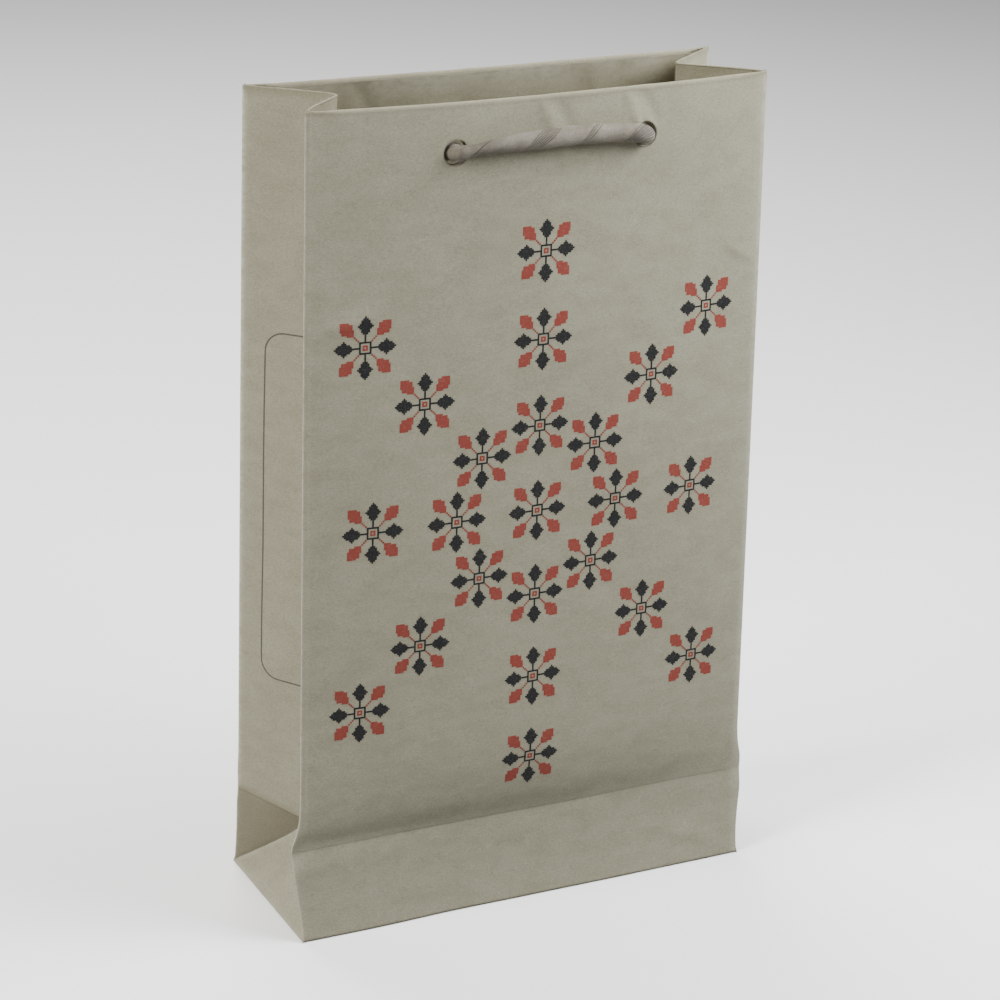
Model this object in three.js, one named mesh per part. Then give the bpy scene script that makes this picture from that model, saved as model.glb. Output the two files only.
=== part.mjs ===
// Paper gift bag with cord handles, standing open on its base.
// Millimetres, +Z up, front towards -Y. Origin: the middle of the base, on the surface it stands on.
// One folded paper blank is built as its flat regions, one solid for each region between two creases,
// with the stiffening boards, the bottom insert, the two cords and their knots as pieces of their own.

import * as THREE from 'three';

// Driving dimensions of the bag.
const WIDTH = 112;
const HEIGHT = 188;
const DEPTH = 42;
const MOUTH_DEPTH = 27;

// Sheet thicknesses, and the gap that touching sheets keep.
const PAPER = 0.4;
const CARD = 1.0;
const GAP = 0.3;

// Turned-in hem and the stiffening card inside it.
const HEM_HEIGHT = 25;
const CARD_HEIGHT = 20;
const CARD_TOP_MARGIN = 1.5;
const HEM_SIDE_MARGIN = 6;

// How far each folded-in piece stops short of its creases.
const TRIANGLE_INSET = 0.6;
const GUSSET_WALL_INSET = 0.9;
const GUSSET_CENTRE_INSET = 0.5;
const GUSSET_KNEE_INSET = 0.5;
const GUSSET_HEM_WALL_INSET = 5.5;
const GUSSET_HEM_CENTRE_INSET = 1.2;

// The glued lap of the side seam, inside the back wall.
const SEAM_WIDTH = 10;
const SEAM_SIDE_MARGIN = 3.5;
const SEAM_END_MARGIN = 4;

// Cord handles.
const CORD = 4.6;
const HOLE = 6.2;
const HOLE_PITCH = 46;
const HOLE_DROP = 10.5;
const CORD_STAND_OFF = 0.6;
const BEND = 2.9;
const TAIL_LENGTH = 54;
const KNOT_DIAMETER = 8.4;
const KNOT_HEIGHT = 9;
const TAIL_END = 7;

// Bottom flaps and the loose card on top of them.
const LONG_FLAP = 28;
const SIDE_FLAP = 18;
const SIDE_FLAP_TIP = 8;
const FLAP_END_MARGIN = 1.5;
const FLAP_EDGE_MARGIN = 0.8;
const SIDE_FLAP_END_MARGIN = 2;
const SIDE_FLAP_EDGE_MARGIN = 1;
const BASE_CARD_END_MARGIN = 3;
const BASE_CARD_EDGE_MARGIN = 1.5;

// Worked out from the driving dimensions. Half the depth is the height of the base crease on the flat
// paper. Each side folds in on that length, so its centre crease lies deeper where the mouth is narrower.
const HALF_WIDTH = WIDTH / 2;
const HALF_DEPTH = DEPTH / 2;
const HALF_MOUTH = MOUTH_DEPTH / 2;
const KNEE_Y = 18.5;
const KNEE_Z = Math.sqrt(HALF_DEPTH ** 2 - (HALF_DEPTH - KNEE_Y) ** 2);
const APEX_INSET = 9.7;
const APEX_Z = Math.sqrt(HALF_DEPTH ** 2 - APEX_INSET ** 2);
const TIP_INSET = Math.sqrt(HALF_DEPTH ** 2 - HALF_MOUTH ** 2);
const WALL_LENGTH = Math.hypot(HEIGHT - KNEE_Z, KNEE_Y - HALF_MOUTH);
const WALL_LEAN = Math.atan2(KNEE_Y - HALF_MOUTH, HEIGHT - KNEE_Z);
const LAYER = PAPER + GAP;
const HOLE_Z = HEIGHT - HOLE_DROP;
const HOLE_Y = HALF_MOUTH + HOLE_DROP * Math.tan(WALL_LEAN);
const WALL_STACK = 2 * LAYER + CARD;
// Keeps the lower edge of a leaning base strip off the ground.
const STRIP_LIFT = PAPER / 4;
const TAIL_Y = HOLE_Y - WALL_STACK - GAP - CORD / 2;

function finish(name, color, roughness) {
  return new THREE.MeshStandardMaterial({ name, color, roughness, metalness: 0 });
}

const kraftPaper = finish('kraft_paper', 0xa6a08c, 0.9);
const kraftInside = finish('kraft_inside', 0x98917c, 0.9);
const greyCard = finish('grey_card', 0x8f8b82, 0.95);
const paperCord = finish('paper_cord', 0x9b9184, 0.85);

const bag = new THREE.Group();
const point = (x, y, z) => new THREE.Vector3(x, y, z);

function place(name, geometry, material) {
  const mesh = new THREE.Mesh(geometry, material);
  mesh.name = name;
  bag.add(mesh);
  return mesh;
}

// Crease points. side is -1 on the left and 1 on the right; face is -1 at the front and 1 at the back.
const corner = (side, face) => point(side * HALF_WIDTH, face * HALF_DEPTH, 0);
const knee = (side, face) => point(side * HALF_WIDTH, face * KNEE_Y, KNEE_Z);
const rim = (side, face) => point(side * HALF_WIDTH, face * HALF_MOUTH, HEIGHT);
const apex = (side) => point(side * (HALF_WIDTH - APEX_INSET), 0, APEX_Z);
const tip = (side) => point(side * (HALF_WIDTH - TIP_INSET), 0, HEIGHT);

// A flat piece of sheet, from an outline of coplanar points, with its middle plane on those points.
// inset pulls every edge in.
function flatSheet(name, outline, thickness, material, inset = 0) {
  const along = outline[1].clone().sub(outline[0]).normalize();
  const normal = along.clone().cross(outline[2].clone().sub(outline[0])).normalize();
  const across = normal.clone().cross(along);
  const flat = outline.map((p) => {
    const offset = p.clone().sub(outline[0]);
    return new THREE.Vector2(offset.dot(along), offset.dot(across));
  });
  const shape = new THREE.Shape(insetOutline(flat, inset));
  const geometry = new THREE.ExtrudeGeometry(shape, { depth: thickness, bevelEnabled: false });
  const mesh = place(name, geometry, material);
  mesh.quaternion.setFromRotationMatrix(new THREE.Matrix4().makeBasis(along, across, normal));
  mesh.position.copy(outline[0]).addScaledVector(normal, -thickness / 2);
  return mesh;
}

// The same convex, anticlockwise outline with each edge moved in by a distance.
function insetOutline(flat, distance) {
  const count = flat.length;
  return flat.map((p, i) => {
    const before = p.clone().sub(flat[(i + count - 1) % count]).normalize();
    const after = flat[(i + 1) % count].clone().sub(p).normalize();
    const turn = before.x * after.y - before.y * after.x;
    return p.clone().addScaledVector(after, distance / turn).addScaledVector(before, -distance / turn);
  });
}

// A sheet between two straight edges that aren't parallel, as the folded-in half of a side is.
// The edges run from low to high; the sheet is a stack of strips, closed all round.
function ruledSheet(name, edgeA, edgeB, thickness, material, { insetA, insetB, lift = 0 }) {
  const strips = 8;
  const corners = [];
  for (let i = 0; i <= strips; i += 1) {
    const a = edgeA[0].clone().lerp(edgeA[1], i / strips);
    const b = edgeB[0].clone().lerp(edgeB[1], i / strips);
    const across = b.clone().sub(a).normalize();
    const normal = across.clone().cross(edgeA[1].clone().sub(edgeA[0])).normalize();
    a.addScaledVector(across, insetA);
    b.addScaledVector(across, -insetB);
    const near = normal.clone().multiplyScalar(lift - thickness / 2);
    const far = normal.clone().multiplyScalar(lift + thickness / 2);
    corners.push(a.clone().add(near), b.clone().add(near), b.clone().add(far), a.clone().add(far));
  }
  const faces = [];
  const addQuad = (p, q, r, s) => faces.push(p, r, q, p, s, r);
  for (let i = 0; i < strips; i += 1) {
    for (let k = 0; k < 4; k += 1) {
      const next = (k + 1) % 4;
      addQuad(4 * i + k, 4 * i + next, 4 * i + 4 + next, 4 * i + 4 + k);
    }
  }
  addQuad(3, 2, 1, 0);
  addQuad(4 * strips, 4 * strips + 1, 4 * strips + 2, 4 * strips + 3);
  const geometry = new THREE.BufferGeometry();
  geometry.setAttribute('position', new THREE.Float32BufferAttribute(corners.flatMap((p) => p.toArray()), 3));
  geometry.setIndex(faces);
  return place(name, geometry, material);
}

// A level rectangle or trapezium of sheet, lying at a height.
function levelSheet(name, outline, bottom, thickness, material) {
  const shape = new THREE.Shape(outline.map(([x, y]) => new THREE.Vector2(x, y)));
  const geometry = new THREE.ExtrudeGeometry(shape, { depth: thickness, bevelEnabled: false });
  const mesh = place(name, geometry, material);
  mesh.position.z = bottom;
  return mesh;
}

// A layer of the front or back wall, upright in its own plane: from one height to another above the
// knee crease, inset layers deep behind the outer sheet, with the two cord holes where it reaches them.
function wallLayer(name, face, { low, high, halfWidth, depthIn, thickness, holes, material }) {
  const shape = new THREE.Shape();
  shape.moveTo(-halfWidth, low);
  shape.lineTo(halfWidth, low);
  shape.lineTo(halfWidth, high);
  shape.lineTo(-halfWidth, high);
  shape.closePath();
  if (holes) {
    for (const side of [-1, 1]) {
      const hole = new THREE.Path();
      hole.absarc(side * HOLE_PITCH / 2, WALL_LENGTH - HOLE_DROP, HOLE / 2, 0, 2 * Math.PI, true);
      shape.holes.push(hole);
    }
  }
  const settings = { depth: thickness, bevelEnabled: false, curveSegments: 24 };
  const geometry = new THREE.ExtrudeGeometry(shape, settings);
  const mesh = place(name, geometry, material);
  const inwards = point(0, -face * Math.cos(WALL_LEAN), -Math.sin(WALL_LEAN));
  const up = point(0, -face * Math.sin(WALL_LEAN), Math.cos(WALL_LEAN));
  const extruded = point(1, 0, 0).cross(up);
  const start = extruded.dot(inwards) > 0 ? depthIn : depthIn + thickness;
  mesh.quaternion.setFromRotationMatrix(new THREE.Matrix4().makeBasis(point(1, 0, 0), up, extruded));
  mesh.position.set(0, face * KNEE_Y, KNEE_Z).addScaledVector(inwards, start);
  return mesh;
}

function makeWall(face, label) {
  wallLayer(`${label}_panel`, face, {
    low: GAP, high: WALL_LENGTH, halfWidth: HALF_WIDTH, depthIn: 0,
    thickness: PAPER, holes: true, material: kraftPaper,
  });
  wallLayer(`${label}_rim_card`, face, {
    low: WALL_LENGTH - CARD_TOP_MARGIN - CARD_HEIGHT, high: WALL_LENGTH - CARD_TOP_MARGIN,
    halfWidth: HALF_WIDTH - HEM_SIDE_MARGIN, depthIn: LAYER, thickness: CARD, holes: true, material: greyCard,
  });
  wallLayer(`${label}_hem`, face, {
    low: WALL_LENGTH - HEM_HEIGHT, high: WALL_LENGTH - GAP,
    halfWidth: HALF_WIDTH - HEM_SIDE_MARGIN, depthIn: LAYER + CARD + GAP,
    thickness: PAPER, holes: true, material: kraftInside,
  });
  flatSheet(`${label}_base_strip`, face < 0
    ? [corner(-1, face), corner(1, face), knee(1, face), knee(-1, face)]
    : [corner(1, face), corner(-1, face), knee(-1, face), knee(1, face)],
  PAPER, kraftPaper).position.z += STRIP_LIFT;
}

// The lap where the two ends of the blank are glued together, inside the back wall at its right edge.
function makeSideSeam() {
  const lap = wallLayer('side_seam_lap', 1, {
    low: SEAM_END_MARGIN, high: WALL_LENGTH - HEM_HEIGHT - SEAM_END_MARGIN, halfWidth: SEAM_WIDTH / 2,
    depthIn: LAYER, thickness: PAPER, holes: false, material: kraftInside,
  });
  lap.position.x = HALF_WIDTH - SEAM_SIDE_MARGIN - SEAM_WIDTH / 2;
}

// One folded-in side: the sloping triangle that rises from the base, the two small triangles beside it,
// and above the knee crease the two halves that fold in to the centre crease, each with its turned-in hem.
function makeGusset(side, label) {
  const base = [corner(side, -1), corner(side, 1), apex(side)];
  flatSheet(`${label}_gusset_foot`, base, PAPER, kraftPaper, TRIANGLE_INSET);
  for (const [face, half] of [[-1, 'front'], [1, 'back']]) {
    const triangle = [corner(side, face), knee(side, face), apex(side)];
    flatSheet(`${label}_gusset_corner_${half}`, triangle, PAPER, kraftPaper, TRIANGLE_INSET);
    const wallEdge = [knee(side, face), rim(side, face)];
    const centreEdge = [apex(side), tip(side)];
    wallEdge[0].z += GUSSET_KNEE_INSET;
    centreEdge[0].z += GUSSET_KNEE_INSET;
    ruledSheet(`${label}_gusset_${half}`, ...ordered(side, face, wallEdge, centreEdge), PAPER, kraftPaper,
      gussetInsets(side, face, GUSSET_WALL_INSET, GUSSET_CENTRE_INSET, 0));
    const hemShare = 1 - HEM_HEIGHT / WALL_LENGTH;
    const hemWallEdge = [wallEdge[0].clone().lerp(wallEdge[1], hemShare), wallEdge[1].clone()];
    const hemCentreEdge = [centreEdge[0].clone().lerp(centreEdge[1], hemShare), centreEdge[1].clone()];
    hemWallEdge[1].z -= GAP;
    hemCentreEdge[1].z -= GAP;
    ruledSheet(`${label}_gusset_hem_${half}`, ...ordered(side, face, hemWallEdge, hemCentreEdge), PAPER,
      kraftInside, gussetInsets(side, face, GUSSET_HEM_WALL_INSET, GUSSET_HEM_CENTRE_INSET, LAYER));
  }
}

// ruledSheet's normal points into the bag when the edges are given in this order.
function ordered(side, face, wallEdge, centreEdge) {
  return side * face > 0 ? [wallEdge, centreEdge] : [centreEdge, wallEdge];
}

function gussetInsets(side, face, wallInset, centreInset, lift) {
  return side * face > 0
    ? { insetA: wallInset, insetB: centreInset, lift }
    : { insetA: centreInset, insetB: wallInset, lift };
}

// The bottom: the two long flaps outside, glued over the side flaps, and the insert card on top.
function makeBottom() {
  const halfLength = HALF_WIDTH - FLAP_END_MARGIN;
  const edge = HALF_DEPTH - FLAP_EDGE_MARGIN;
  const sideEdge = HALF_DEPTH - SIDE_FLAP_EDGE_MARGIN;
  const flap = (y0, y1) => [[-halfLength, y0], [halfLength, y0], [halfLength, y1], [-halfLength, y1]];
  levelSheet('bottom_flap_back', flap(edge - LONG_FLAP, edge), 0, PAPER, kraftPaper);
  levelSheet('bottom_flap_front', flap(-edge, LONG_FLAP - edge), LAYER, PAPER, kraftPaper);
  for (const [side, label] of [[-1, 'left'], [1, 'right']]) {
    const outer = side * (HALF_WIDTH - SIDE_FLAP_END_MARGIN);
    const inner = side * (HALF_WIDTH - SIDE_FLAP_END_MARGIN - SIDE_FLAP);
    const tipEdge = SIDE_FLAP_TIP / 2;
    const outline = [[outer, -sideEdge], [inner, -tipEdge], [inner, tipEdge], [outer, sideEdge]];
    levelSheet(`bottom_flap_${label}`, side < 0 ? outline : outline.reverse(), 2 * LAYER, PAPER, kraftInside);
  }
  const x = HALF_WIDTH - BASE_CARD_END_MARGIN;
  const y = HALF_DEPTH - BASE_CARD_EDGE_MARGIN;
  levelSheet('base_card', [[-x, -y], [x, -y], [x, y], [-x, y]], 3 * LAYER, CARD, greyCard);
}

// A round cord along a route of points, with its ends square to the route.
function makeCord(name, route, steps) {
  const section = new THREE.Shape();
  section.absarc(0, 0, CORD / 2, 0, 2 * Math.PI, false);
  const extrudePath = new THREE.CatmullRomCurve3(route, false, 'centripetal');
  const settings = { steps, extrudePath, bevelEnabled: false, curveSegments: 6 };
  const geometry = new THREE.ExtrudeGeometry(section, settings);
  return place(name, geometry, paperCord);
}

// Points of a quarter turn from one heading to another, round a bend of the cord.
function quarterTurn(start, from, to, radius) {
  return [1, 2, 3, 4].map((k) => {
    const angle = k * Math.PI / 8;
    return start.clone()
      .addScaledVector(from, radius * Math.sin(angle))
      .addScaledVector(to, radius * (1 - Math.cos(angle)));
  });
}

// A handle: the run outside between the holes, and on each side the leg that goes in through the hole
// and hangs behind the wall to its knot.
function makeHandle(face, label) {
  const out = point(0, face, 0);
  const in_ = point(0, -face, 0);
  const down = point(0, 0, -1);
  const outerY = face * (HOLE_Y + CORD_STAND_OFF);
  const hole = (side, y) => point(side * HOLE_PITCH / 2, y, HOLE_Z);
  const leftStart = hole(-1, outerY + face * GAP / 2);
  const rightStart = hole(1, outerY + face * GAP / 2);
  const leftTurn = leftStart.clone().addScaledVector(out, GAP);
  const rightTurn = rightStart.clone().addScaledVector(out, GAP);
  const leftBend = [leftTurn, ...quarterTurn(leftTurn, out, point(1, 0, 0), BEND)];
  const rightBend = [rightTurn, ...quarterTurn(rightTurn, out, point(-1, 0, 0), BEND)];
  makeCord(`${label}_handle_cord`, [leftStart, ...leftBend, ...rightBend.reverse(), rightStart], 36);
  for (const [side, name] of [[-1, 'left'], [1, 'right']]) {
    const mouth = hole(side, outerY - face * GAP / 2);
    const turnStart = hole(side, face * (TAIL_Y + BEND));
    const turn = quarterTurn(turnStart, in_, down, BEND);
    const end = point(side * HOLE_PITCH / 2, face * TAIL_Y, HOLE_Z - TAIL_LENGTH);
    makeCord(`${label}_cord_leg_${name}`, [mouth, turnStart, ...turn, end], 26);
    makeKnot(`${label}_knot_${name}`, end.clone().addScaledVector(down, GAP));
  }
}

// A knot with the cord's cut end below it, hung from its top.
function makeKnot(name, top) {
  const radius = KNOT_DIAMETER / 2;
  const middle = -KNOT_HEIGHT / 2;
  const bottom = -KNOT_HEIGHT - TAIL_END;
  const profile = [new THREE.Vector2(0, bottom), new THREE.Vector2(CORD / 2, bottom)];
  for (let k = 1; k <= 7; k += 1) {
    const angle = -Math.PI / 2 + k * Math.PI / 8;
    const bulge = CORD / 2 + (radius - CORD / 2) * Math.cos(angle);
    profile.push(new THREE.Vector2(bulge, middle + Math.sin(angle) * KNOT_HEIGHT / 2));
  }
  profile.push(new THREE.Vector2(CORD / 2, 0), new THREE.Vector2(0, 0));
  const geometry = new THREE.LatheGeometry(profile, 16);
  geometry.rotateX(Math.PI / 2);
  const mesh = place(name, geometry, paperCord);
  mesh.position.copy(top);
  return mesh;
}

makeBottom();
makeGusset(-1, 'left');
makeGusset(1, 'right');
makeWall(-1, 'front');
makeWall(1, 'back');
makeSideSeam();
makeHandle(-1, 'front');
makeHandle(1, 'back');

export default bag;
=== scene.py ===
import math

import bpy
import numpy as np
from mathutils import Matrix, Vector, geometry


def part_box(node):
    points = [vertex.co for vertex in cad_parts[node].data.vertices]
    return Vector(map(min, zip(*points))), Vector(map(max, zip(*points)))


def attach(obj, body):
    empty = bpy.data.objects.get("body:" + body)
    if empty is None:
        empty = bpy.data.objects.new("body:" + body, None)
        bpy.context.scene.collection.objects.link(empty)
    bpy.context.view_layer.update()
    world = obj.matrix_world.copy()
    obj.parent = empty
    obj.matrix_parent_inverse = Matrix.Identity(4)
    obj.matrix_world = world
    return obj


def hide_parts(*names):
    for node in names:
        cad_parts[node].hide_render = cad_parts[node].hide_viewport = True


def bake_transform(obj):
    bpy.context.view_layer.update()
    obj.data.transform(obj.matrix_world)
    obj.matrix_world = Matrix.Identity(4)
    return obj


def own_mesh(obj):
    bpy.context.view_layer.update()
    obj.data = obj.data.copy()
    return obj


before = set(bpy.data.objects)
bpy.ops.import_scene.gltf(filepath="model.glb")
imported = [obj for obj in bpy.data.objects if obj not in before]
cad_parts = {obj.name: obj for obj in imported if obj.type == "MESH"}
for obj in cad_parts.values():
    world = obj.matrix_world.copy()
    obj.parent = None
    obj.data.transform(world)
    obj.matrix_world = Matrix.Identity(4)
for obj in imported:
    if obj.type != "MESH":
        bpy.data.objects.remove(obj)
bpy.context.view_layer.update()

mm = 0.001


# ---- Where the bag is seen from ------------------------------------------------------------------
# A long lens a little above the rim, turned to the bag's left, so that the front, the left side and
# the inside of the back wall all show. The bag stands on a plain pale sheet.
view_turn = math.radians(-26.8)
view_rise = math.radians(21.33)
view_roll = math.radians(-1.92)
view_distance = 694.6 * mm
view_middle = Vector((0.24 * mm, 0, 90.49 * mm))

camera = bpy.data.objects.new("camera", bpy.data.cameras.new("camera"))
camera.data.lens = 110.66
camera.data.sensor_width = 36
camera.data.clip_start = 0.01
back_vector = Vector((
    math.sin(view_turn) * math.cos(view_rise),
    -math.cos(view_turn) * math.cos(view_rise),
    math.sin(view_rise),
))
camera.location = view_middle + back_vector * view_distance
facing = back_vector.to_track_quat("Z", "Y").to_matrix().to_4x4()
camera.matrix_world = Matrix.Translation(camera.location) @ facing @ Matrix.Rotation(-view_roll, 4, "Z")
bpy.context.scene.collection.objects.link(camera)
bpy.context.scene.camera = camera


def soft_lamp(name, place, aim, width, strength, tint):
    lamp = bpy.data.objects.new(name, bpy.data.lights.new(name, "AREA"))
    lamp.data.shape = "SQUARE"
    lamp.data.size = width
    lamp.data.energy = strength
    lamp.data.color = tint
    direction = Vector(aim) - Vector(place)
    lamp.rotation_euler = direction.to_track_quat("-Z", "Y").to_euler()
    lamp.location = place
    bpy.context.scene.collection.objects.link(lamp)


soft_lamp("lamp_left_above", (-0.80, -0.10, 0.70), (0, 0, 0.09), 0.40, 17.0, (1.0, 0.99, 0.96))
soft_lamp("lamp_right_near", (0.32, -0.12, 0.42), (0, 0, 0.09), 0.20, 2.4, (0.96, 0.98, 1.0))
soft_lamp("lamp_right_corner", (0.20, -0.19, 0.335), (0, 0, 0.09), 0.15, 1.50, (0.95, 0.98, 1.0))
soft_lamp("lamp_right_far", (0.80, -0.50, 0.80), (0, 0, 0.09), 0.50, 1.2, (1.0, 0.99, 0.97))
soft_lamp("lamp_back_above", (0.0, 0.50, 0.80), (0, 0, 0.09), 0.50, 9.5, (1.0, 1.0, 0.99))

surroundings = bpy.data.worlds.new("surroundings")
surroundings.use_nodes = True
surroundings.node_tree.nodes["Background"].inputs["Color"].default_value = (0.93, 0.95, 1.0, 1)
surroundings.node_tree.nodes["Background"].inputs["Strength"].default_value = 0.05
bpy.context.scene.world = surroundings

floor_mesh = bpy.data.meshes.new("floor")
floor_mesh.from_pydata([(-3, -3, 0), (3, -3, 0), (3, 3, 0), (-3, 3, 0)], [], [(0, 1, 2, 3)])
floor = bpy.data.objects.new("floor", floor_mesh)
floor.location.z = -0.05 * mm
bpy.context.scene.collection.objects.link(floor)

floor_finish = bpy.data.materials.new("pale_floor")
floor_finish.use_nodes = True
floor_nodes = floor_finish.node_tree.nodes
floor_surface = floor_nodes["Principled BSDF"]
floor_surface.inputs["Roughness"].default_value = 0.9
floor_grain = floor_nodes.new("ShaderNodeTexNoise")
floor_grain.inputs["Scale"].default_value = 60
floor_tone = floor_nodes.new("ShaderNodeMapRange")
floor_tone.inputs["To Min"].default_value = 0.93
floor_tone.inputs["To Max"].default_value = 0.95
floor_finish.node_tree.links.new(floor_grain.outputs["Fac"], floor_tone.inputs["Value"])
floor_seen = floor_nodes.new("ShaderNodeMix")
floor_seen.inputs[3].default_value = 0.30
floor_path = floor_nodes.new("ShaderNodeLightPath")
floor_finish.node_tree.links.new(floor_path.outputs["Is Diffuse Ray"], floor_seen.inputs[0])
floor_finish.node_tree.links.new(floor_tone.outputs["Result"], floor_seen.inputs[2])
floor_finish.node_tree.links.new(floor_seen.outputs[0], floor_surface.inputs["Base Color"])
floor.data.materials.append(floor_finish)


# ---- Kraft paper ---------------------------------------------------------------------------------
# Uncoated natural kraft, grey-beige, with short fibres, a cloudy formation from the paper machine and
# a soft tooth. Where it is folded or handled, the broken fibres along the fold go paler.
def new_node(tree, kind, **values):
    node = tree.nodes.new(kind)
    for name, value in values.items():
        if name in node.inputs:
            node.inputs[name].default_value = value
        else:
            setattr(node, name, value)
    return node


def paper_fibre_group():
    tree = bpy.data.node_groups.new("paper_fibres", "ShaderNodeTree")
    colour_kind, number_kind = "NodeSocketColor", "NodeSocketFloat"
    for name, kind in (("Paper", colour_kind), ("Cloud", colour_kind), ("Fibre_and_painted_shade", colour_kind),
                       ("Worn_and_painted_light", colour_kind), ("Wear_and_painted_light", number_kind), ("Crease", number_kind)):
        tree.interface.new_socket(name, in_out="INPUT", socket_type=kind)
    for name, kind in (("Colour", colour_kind), ("Roughness", number_kind), ("Height", number_kind)):
        tree.interface.new_socket(name, in_out="OUTPUT", socket_type=kind)
    link = tree.links.new
    given = tree.nodes.new("NodeGroupInput")
    result = tree.nodes.new("NodeGroupOutput")
    place = tree.nodes.new("ShaderNodeTexCoord").outputs["Object"]

    level = tree.nodes.new("ShaderNodeVectorMath")
    level.operation = "MULTIPLY"
    level.inputs[1].default_value = (1, 1, 1.9)
    link(place, level.inputs[0])

    def noise(scale, detail, distortion=0.0, roughness=0.5):
        node = new_node(tree, "ShaderNodeTexNoise", Scale=scale, Detail=detail, Distortion=distortion,
                   Roughness=roughness)
        link(level.outputs[0], node.inputs["Vector"])
        return node.outputs["Fac"]

    def between(value, low, high, to_low=0.0, to_high=1.0):
        node = tree.nodes.new("ShaderNodeMapRange")
        for name, number in (("From Min", low), ("From Max", high), ("To Min", to_low), ("To Max", to_high)):
            node.inputs[name].default_value = number
        link(value, node.inputs["Value"])
        return node.outputs["Result"]

    def mixed(factor, first, second):
        node = tree.nodes.new("ShaderNodeMix")
        node.data_type = "RGBA"
        link(factor, node.inputs[0])
        link(first, node.inputs[6])
        link(second, node.inputs[7])
        return node.outputs[2]

    def thread(scale, width, distortion):
        """Thin wandering lines, where a noise passes through its middle value."""
        away = new_node(tree, "ShaderNodeMath", operation="SUBTRACT")
        link(noise(scale, 3, distortion), away.inputs[0])
        away.inputs[1].default_value = 0.5
        size = new_node(tree, "ShaderNodeMath", operation="ABSOLUTE")
        link(away.outputs[0], size.inputs[0])
        return between(size.outputs[0], 0.0, width, 1.0, 0.0)

    def times(first, second):
        node = new_node(tree, "ShaderNodeMath", operation="MULTIPLY")
        for value, slot in ((first, node.inputs[0]), (second, node.inputs[1])):
            if isinstance(value, (int, float)):
                slot.default_value = value
            else:
                link(value, slot)
        return node.outputs[0]

    cloud = between(noise(150, 4, 0.4), 0.36, 0.66)
    tooth = noise(2200, 4, 0.3, 0.62)
    fibres = times(thread(520, 0.020, 2.2), between(noise(900, 2), 0.45, 0.60))
    pale_fibres = times(thread(640, 0.018, 2.6), between(noise(700, 2), 0.48, 0.62))
    colour = mixed(times(cloud, 0.75), given.outputs["Paper"], given.outputs["Cloud"])
    grain = tree.nodes.new("ShaderNodeHueSaturation")
    link(between(tooth, 0.25, 0.75, 0.74, 1.26), grain.inputs["Value"])
    link(colour, grain.inputs["Color"])
    colour = mixed(times(fibres, 0.34), grain.outputs["Color"], given.outputs["Fibre_and_painted_shade"])
    colour = mixed(times(pale_fibres, 0.30), colour, given.outputs["Worn_and_painted_light"])
    # Paler towards the worn colour: wear along folds and hole edges, and painted light at the top of the rim
    # lining.
    rubbed_and_painted_light = times(given.outputs["Wear_and_painted_light"], between(noise(420, 3), 0.30, 0.58, 0.35, 1.0))
    colour = mixed(rubbed_and_painted_light, colour, given.outputs["Worn_and_painted_light"])
    # Painted shade: darker towards the fibre colour in creases and along folds, over the rolled rim, down the
    # rim lining and in the cord's pleats.
    colour = mixed(times(given.outputs["Crease"], 0.85), colour, given.outputs["Fibre_and_painted_shade"])
    link(colour, result.inputs["Colour"])
    link(between(tooth, 0.3, 0.7, 0.80, 0.94), result.inputs["Roughness"])
    height = new_node(tree, "ShaderNodeMath", operation="ADD")
    link(times(tooth, 0.7), height.inputs[0])
    link(times(fibres, 0.5), height.inputs[1])
    link(height.outputs[0], result.inputs["Height"])
    return tree


paper_fibres = paper_fibre_group()


def paper_material(name, paper, cloud, fibre_and_painted_shade, worn_and_painted_light, tooth_depth=0.05):
    material = bpy.data.materials.new(name)
    material.use_nodes = True
    tree = material.node_tree
    surface = tree.nodes["Principled BSDF"]
    group = tree.nodes.new("ShaderNodeGroup")
    group.node_tree = paper_fibres
    for socket, colour in (("Paper", paper), ("Cloud", cloud), ("Fibre_and_painted_shade", fibre_and_painted_shade), ("Worn_and_painted_light", worn_and_painted_light)):
        group.inputs[socket].default_value = (*colour, 1)
    for socket, attribute in (("Wear_and_painted_light", "wear_and_painted_light"), ("Crease", "crease")):
        value = new_node(tree, "ShaderNodeAttribute", attribute_name=attribute)
        tree.links.new(value.outputs["Fac"], group.inputs[socket])
    bump = new_node(tree, "ShaderNodeBump", Strength=0.5, Distance=tooth_depth * mm)
    tree.links.new(group.outputs["Height"], bump.inputs["Height"])
    tree.links.new(group.outputs["Colour"], surface.inputs["Base Color"])
    tree.links.new(group.outputs["Roughness"], surface.inputs["Roughness"])
    tree.links.new(bump.outputs["Normal"], surface.inputs["Normal"])
    surface.inputs["Specular IOR Level"].default_value = 0.25
    return material


kraft_outside = paper_material(
    "kraft_outside", (0.268, 0.254, 0.186), (0.232, 0.216, 0.152), (0.115, 0.095, 0.055), (0.45, 0.435, 0.35))
# A darker copy of the kraft, painted shade for the faces inside the bag.
kraft_inside = paper_material(
    "kraft_inside", (0.212, 0.197, 0.136), (0.168, 0.151, 0.098), (0.095, 0.076, 0.042), (0.38, 0.365, 0.285))


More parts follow.
